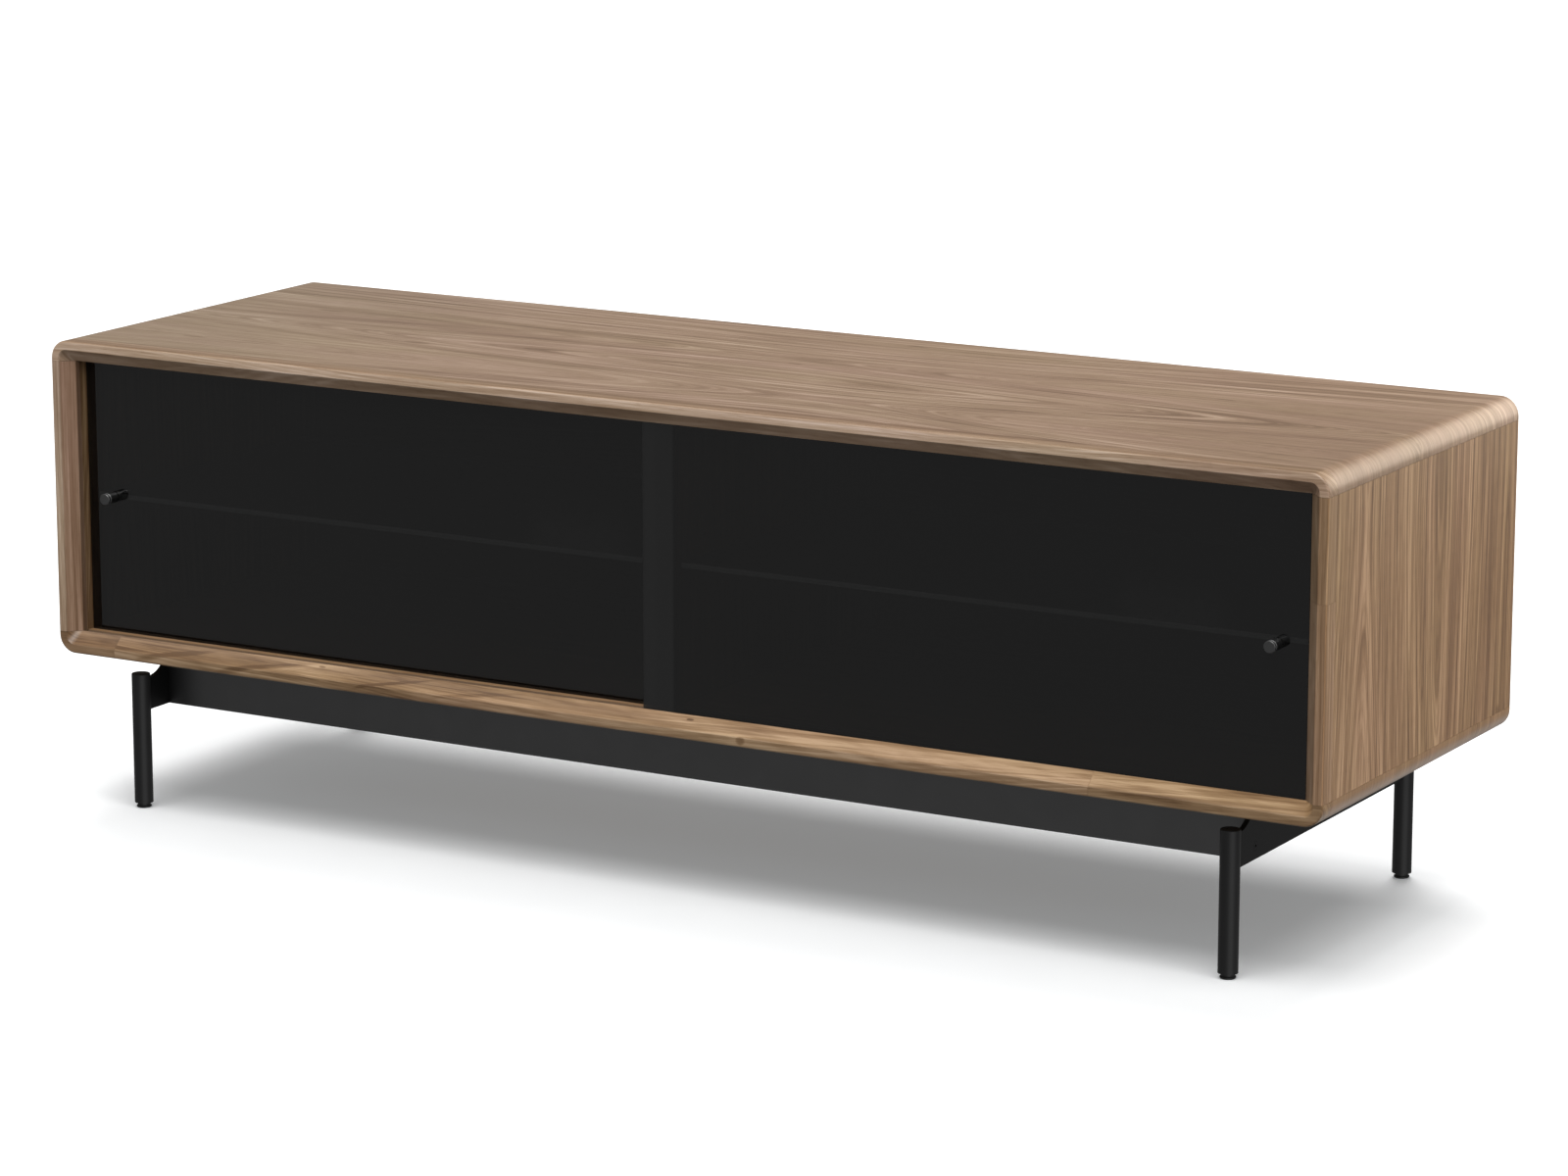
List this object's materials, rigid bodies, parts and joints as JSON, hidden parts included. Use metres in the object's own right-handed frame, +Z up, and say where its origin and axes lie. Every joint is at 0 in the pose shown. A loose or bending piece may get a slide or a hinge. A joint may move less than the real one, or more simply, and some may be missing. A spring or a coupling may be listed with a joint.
{
  "type": "media cabinet",
  "caption": "Low walnut media cabinet with bypass sliding smoked glass doors, glass shelves and a black steel leg base.",
  "frame": {"origin": "on the floor under the middle of the case, halfway between its ends and between its front and rear", "axes": "+X along the width to the right as seen from the front, +Y from the front to the rear, +Z up"},
  "size_m": [1.63, 0.5083, 0.552],
  "materials": {
    "walnut_veneer": "satin lacquered walnut veneer",
    "solid_walnut": "satin lacquered solid walnut",
    "back_board": "matt walnut veneer on thin board",
    "smoked_glass": "polished dark tinted glass",
    "shelf_glass": "polished lightly tinted glass",
    "black_steel": "satin black powder coat",
    "black_knob": "satin black",
    "black_plastic": "matt black",
    "brown_plastic": "matt walnut brown",
    "nylon": "natural nylon",
    "zinc_steel": "zinc plated"
  },
  "bodies": {
    "case": {"top_panel": "walnut_veneer", "bottom_panel": "walnut_veneer", "left_side_panel": "walnut_veneer", "right_side_panel": "walnut_veneer", "top_front_edge": "solid_walnut", "bottom_front_edge": "solid_walnut", "left_front_edge": "solid_walnut", "right_front_edge": "solid_walnut", "center_divider": "walnut_veneer", "back_panel_left": "back_board", "back_panel_right": "back_board", "shelf_left": "shelf_glass", "shelf_right": "shelf_glass", "shelf_pin_left_outer_front": "zinc_steel", "shelf_pin_left_outer_rear": "zinc_steel", "shelf_pin_left_inner_front": "zinc_steel", "shelf_pin_left_inner_rear": "zinc_steel", "shelf_pin_right_outer_front": "zinc_steel", "shelf_pin_right_outer_rear": "zinc_steel", "shelf_pin_right_inner_front": "zinc_steel", "shelf_pin_right_inner_rear": "zinc_steel", "upper_channel_front": "brown_plastic", "upper_channel_rear": "brown_plastic", "lower_channel_front": "brown_plastic", "lower_channel_rear": "brown_plastic", "leg_front_left": "black_steel", "leg_plug_front_left": "black_plastic", "leg_rear_left": "black_steel", "leg_plug_rear_left": "black_plastic", "leg_front_right": "black_steel", "leg_plug_front_right": "black_plastic", "leg_rear_right": "black_steel", "leg_plug_rear_right": "black_plastic", "side_plate_left": "black_steel", "side_plate_right": "black_steel", "front_beam": "black_steel", "rear_beam": "black_steel", "beam_bolt_front_left": "black_steel", "beam_bolt_rear_left": "black_steel", "beam_bolt_front_right": "black_steel", "beam_bolt_rear_right": "black_steel"},
    "left_door": {"left_door_glass": "smoked_glass", "left_door_knob": "black_knob", "left_door_knob_washer": "nylon", "left_door_knob_screw": "zinc_steel", "left_door_glide_left": "nylon", "left_door_glide_right": "nylon"},
    "right_door": {"right_door_glass": "smoked_glass", "right_door_knob": "black_knob", "right_door_knob_washer": "nylon", "right_door_knob_screw": "zinc_steel", "right_door_glide_left": "nylon", "right_door_glide_right": "nylon"},
    "foot_front_left": {"levelling_foot_front_left": "black_plastic"},
    "foot_rear_left": {"levelling_foot_rear_left": "black_plastic"},
    "foot_front_right": {"levelling_foot_front_right": "black_plastic"},
    "foot_rear_right": {"levelling_foot_rear_right": "black_plastic"}
  },
  "joints": [
    {"name": "left_door_slide", "type": "slide", "parent": "case", "child": "left_door", "axis": [1, 0, 0], "range_m": [0, 0.7295]},
    {"name": "right_door_slide", "type": "slide", "parent": "case", "child": "right_door", "axis": [1, 0, 0], "range_m": [-0.7295, 0]},
    {"name": "foot_front_left_turn", "type": "hinge", "parent": "case", "child": "foot_front_left", "pos_m": [-0.706, -0.24, 0.006], "axis": [0, 0, 1], "continuous": true},
    {"name": "foot_rear_left_turn", "type": "hinge", "parent": "case", "child": "foot_rear_left", "pos_m": [-0.706, 0.216, 0.006], "axis": [0, 0, 1], "continuous": true},
    {"name": "foot_front_right_turn", "type": "hinge", "parent": "case", "child": "foot_front_right", "pos_m": [0.706, -0.24, 0.006], "axis": [0, 0, 1], "continuous": true},
    {"name": "foot_rear_right_turn", "type": "hinge", "parent": "case", "child": "foot_rear_right", "pos_m": [0.706, 0.216, 0.006], "axis": [0, 0, 1], "continuous": true}
  ]
}
